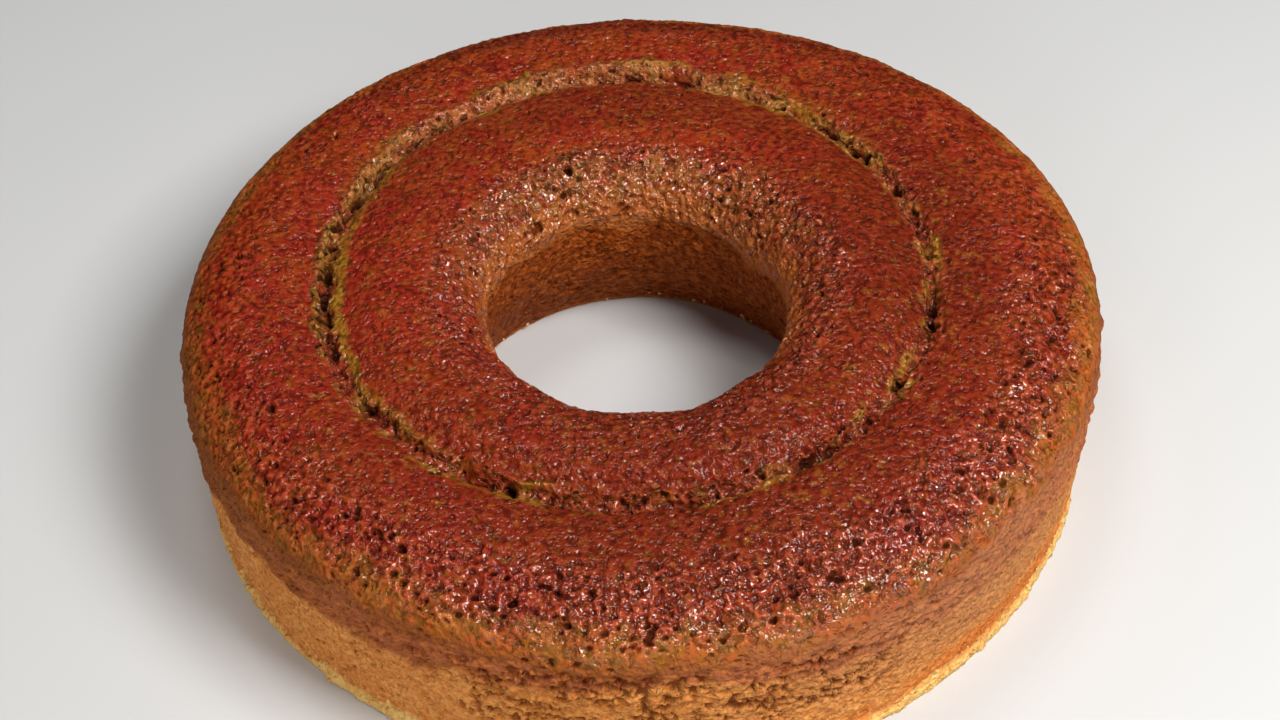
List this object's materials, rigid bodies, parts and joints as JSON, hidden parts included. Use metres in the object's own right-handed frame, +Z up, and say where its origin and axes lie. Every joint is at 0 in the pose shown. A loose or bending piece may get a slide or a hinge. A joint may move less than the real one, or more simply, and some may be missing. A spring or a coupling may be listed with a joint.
{
  "type": "beetroot cake",
  "caption": "Whole ring-shaped beetroot cake with a cracked, glossy red-brown crust, tan crumb sides and a round hole through the middle.",
  "frame": {"origin": "middle of the flat underside, centred on the cake's extent in x and y", "axes": "+Z up through the hole, -Y the cake's front; the cake is nearly round, so X and Y are otherwise alike"},
  "size_m": [0.2508, 0.2498, 0.059],
  "materials": {
    "baked_cake": "oily pitted red-brown crust on top, fine dry tan crumb at the sides"
  },
  "bodies": {
    "root": {"cake": "baked_cake"}
  },
  "joints": []
}
